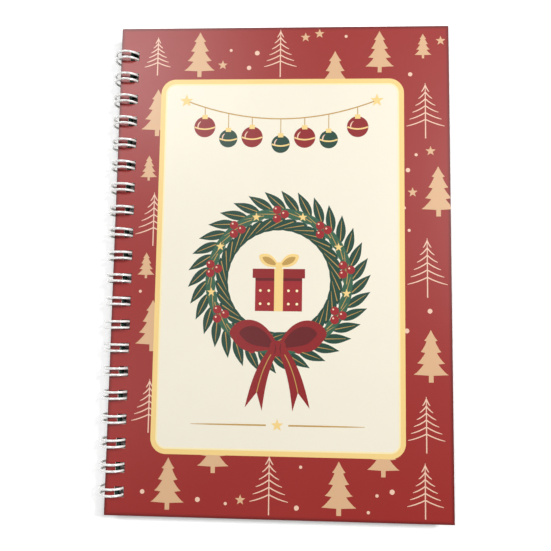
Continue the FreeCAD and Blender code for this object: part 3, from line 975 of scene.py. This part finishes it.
def print_garland(inks):
    """A string that sags evenly between two stars, with baubles hung from it on short threads."""
    share = np.linspace(0, 1, GARLAND_STEPS)
    string = at(
        GARLAND_LEFT + (GARLAND_RIGHT - GARLAND_LEFT) * share,
        GARLAND_HEIGHT - GARLAND_SAG * 4 * share * (1 - share),
    )
    printed("garland_string", ribbon(string[None], STRING_HALF), inks["old_gold"], level=5)
    printed("garland_end_stars", star(string[[0, -1]], END_STAR_RADIUS), inks["gold"], level=6)
    last = GARLAND_STEPS - 1 - FIRST_BAUBLE
    hung = string[np.linspace(FIRST_BAUBLE, last, BAUBLES).astype(int)]
    odd = np.arange(BAUBLES) % 2
    foot = hung - at(0.0, THREAD_LENGTH + THREAD_EXTRA * odd)
    size = BAUBLE_RADIUS * (1 + BAUBLE_EXTRA * (1 - odd))
    centres = foot - at(0.0, size)
    threads = np.stack([hung, (hung + foot) / 2, foot], axis=1)
    printed("garland_threads", ribbon(threads, THREAD_HALF), inks["old_gold"], level=4)
    printed("garland_caps", ribbon(foot[:, None] + at(0.0, CAP_HEIGHTS), CAP_HALF), inks["gold"], level=6)
    for ink, start in (("ribbon", 0), ("deep_green", 1)):
        balls = disc(centres[start::2], size[start::2], BAUBLE_POINTS)
        printed("garland_baubles_" + ink, balls, inks[ink], level=5)
    shine = copied(SHINE_SHARE * directions(SHINE_ANGLES), centres, size)
    printed("garland_shine", ribbon(shine, SHINE_HALF_WIDTHS), inks["pale"], level=7)
    belts = copied(at(BELT_SHARES, -BELT_SAG * (1 - BELT_SHARES ** 2)), centres, size)
    printed("garland_belts", ribbon(belts, BELT_HALF), inks["gold"], level=6)


def print_foot_rule(inks):
    """A thin rule on each side of a small star at the panel's foot."""
    middle = ((PANEL_LEFT + PANEL_RIGHT) / 2, RULE_HEIGHT)
    reach = RULE_GAP + RULE_REACH * np.linspace(0, 1, len(RULE_HALF_WIDTHS))
    rules = ribbon(middle + both_sides(reach, 0.0), RULE_HALF_WIDTHS)
    printed("foot_rules", rules, inks["old_gold"], level=4)
    printed("foot_star", star([middle], RULE_STAR_RADIUS), inks["gold"], level=4)


def dress_covers(inks):
    """Red print on both covers and the panel's design on the front."""
    assign("front_cover", cover_material("front_cover_board", "Upper"))
    assign("back_cover", cover_material("back_cover_board", "Lower"))
    print_scatter("front", "front_cover", 1, inks)
    print_scatter("back", "back_cover", -1, inks)
    print_panel(inks)
    print_wreath(inks)
    print_bow(inks)
    print_gift(inks)
    print_garland(inks)
    print_foot_rule(inks)


# Leaves and pockets

def dress_leaves(inks):
    """Dark green leaves with a border and note lines; cream pockets with stars and red ones with trees."""
    leaf_paper = paper_material("leaf_paper", LEAF_PAPER, LEAF_CORE)
    upper_paper = paper_material("upper_pocket_paper", POCKET_CREAM, BOARD_CORE)
    lower_paper = paper_material("lower_pocket_paper", POCKET_RED, BOARD_CORE)
    width, height = LEAF_SIZE
    across, deep = POCKET_SIZE
    leaf_edges = (LEAF_BOUND_MARGIN, width - LEAF_MARGIN, LEAF_MARGIN, height - LEAF_MARGIN)
    note_ends = np.array([NOTE_LEFT, width / 2, width - NOTE_LEFT / 2])
    notes = ribbon(np.stack([at(note_ends, rise) for rise in NOTE_RISES]), NOTE_HALF)
    line_ends = np.array([POCKET_LINE_INSET, across / 2, across - POCKET_LINE_INSET])
    foot_line = ribbon(at(line_ends, POCKET_LINE_INSET)[None], POCKET_LINE_HALF)
    stars = star(at(across * POCKET_STAR_SHARES, deep * POCKET_STAR_RISE), POCKET_STAR_RADIUS)
    feet = [(across * share, POCKET_TREE_RISE, tall) for share, tall in POCKET_TREES]
    trees = fir_trees(feet, POCKET_SIZE)
    for number in LEAF_NUMBERS:
        leaf, upper, lower = (kind % number for kind in ("leaf_%d", "upper_pocket_%d", "lower_pocket_%d"))
        assign(leaf, leaf_paper)
        border(leaf + "_border", *leaf_edges, LEAF_LINE_CORNER, LEAF_LINE, inks["old_gold"], sheet=leaf)
        printed(leaf + "_note_lines", notes, inks["old_gold"], sheet=leaf)
        for pocket, paper in ((upper, upper_paper), (lower, lower_paper)):
            assign(pocket, paper)
            printed(pocket + "_foot_line", foot_line, inks["tan"], sheet=pocket)
        printed(upper + "_stars", stars, inks["ribbon"], sheet=upper)
        printed(lower + "_trees", trees, inks["tan"], sheet=lower)


# Studio

def background_rays(tree):
    """One for rays from the camera, off gloss or through glass, and nothing for the light on the book."""
    ray = add_node(tree, "ShaderNodeLightPath")
    seen = math_node(tree, "MAXIMUM", ray.outputs["Is Camera Ray"], ray.outputs["Is Glossy Ray"])
    return math_node(tree, "MAXIMUM", seen, ray.outputs["Is Transmission Ray"])


def outside_book(tree, reach, band):
    """A mask on the floor that rises to one at a reach from the covers' outline, over a band inside it."""
    (left, bottom, _), (right, top, _) = COVER_LOW * MM, COVER_HIGH * MM
    mask = place_group(
        tree, TRIMMED_EDGE, Left=left - reach, Right=right + reach,
        Bottom=bottom - reach, Top=top + reach, Band=band,
    )
    return mask.outputs["Edge"]


def make_floor():
    """A level floor of white paper, lifted to plain white for the camera away from the book's shadow."""
    near, far = -FLOOR_HALF, FLOOR_HALF
    corners = [(near, near, 0), (far, near, 0), (far, far, 0), (near, far, 0)]
    mesh = bpy.data.meshes.new("floor")
    mesh.from_pydata(corners, [], [(0, 1, 2, 3)])
    material, tree, shader = new_material("floor_paper")
    shader.inputs["Base Color"].default_value = (FLOOR_WHITE, FLOOR_WHITE, FLOOR_WHITE, 1.0)
    shader.inputs["Roughness"].default_value = FLOOR_ROUGHNESS
    shader.inputs["Emission Strength"].default_value = 1.0
    beside_book = outside_book(tree, SHADOW_REACH, SHADOW_REACH)
    far_off = outside_book(tree, FAR_REACH, FAR_BAND)
    lift = math_node(tree, "MULTIPLY_ADD", far_off, 1.0 - FLOOR_LIFT, FLOOR_LIFT)
    shown = math_node(tree, "MULTIPLY", beside_book, background_rays(tree))
    tree.links.new(math_node(tree, "MULTIPLY", lift, shown), shader.inputs["Emission Color"])
    mesh.materials.append(material)
    floor = bpy.data.objects.new("floor", mesh)
    bpy.context.scene.collection.objects.link(floor)


def make_world():
    """Dim, even surroundings, with walls that the camera and gloss see as white up to a height."""
    world = bpy.data.worlds.new("studio")
    world.use_nodes = True
    tree = world.node_tree
    background = tree.nodes["Background"]
    way = add_node(tree, "ShaderNodeTexCoord").outputs["Generated"]
    up = add_node(tree, "ShaderNodeSeparateXYZ", Vector=way).outputs["Z"]
    wall = add_node(
        tree, "ShaderNodeMapRange", Value=up, From_Min=WALL_FULL, From_Max=WALL_END, To_Min=1.0, To_Max=0.0,
    )
    white = math_node(tree, "MULTIPLY", wall.outputs[0], background_rays(tree))
    level = math_node(tree, "MULTIPLY_ADD", white, 1.0 - SURROUNDINGS, SURROUNDINGS)
    tree.links.new(level, background.inputs["Strength"])
    background.inputs["Color"].default_value = (1.0, 1.0, 1.0, 1.0)
    bpy.context.scene.world = world


def make_lights():
    """Soft area lights that face the middle of the book; power is radiance times area times pi."""
    for name, (place, width, height, radiance) in LIGHTS.items():
        data = bpy.data.lights.new(name, "AREA")
        data.shape = "RECTANGLE"
        data.size = width
        data.size_y = height
        data.energy = radiance * width * height * math.pi
        lamp = bpy.data.objects.new(name, data)
        lamp.location = place
        lamp.rotation_euler = (-lamp.location).to_track_quat("-Z", "Y").to_euler()
        bpy.context.scene.collection.objects.link(lamp)


def make_camera():
    """A camera above the book, a little below its middle, as a hand would hold it."""
    data = bpy.data.cameras.new("camera")
    data.sensor_width = SENSOR_MM
    data.lens = FOCAL_PIXELS / IMAGE_PIXELS * SENSOR_MM
    data.clip_start = NEAREST_SEEN
    camera = bpy.data.objects.new("camera", data)
    camera.location = CAMERA_PLACE
    camera.rotation_euler = [math.radians(angle) for angle in CAMERA_TURN]
    bpy.context.scene.collection.objects.link(camera)
    bpy.context.scene.camera = camera


make_wire()
cover_inks = {name: ink_material(name + "_ink", colour) for name, colour in INKS.items()}
dress_covers(cover_inks)
dress_leaves(cover_inks)
make_floor()
make_world()
make_lights()
make_camera()
bpy.context.scene.view_settings.view_transform = "Standard"
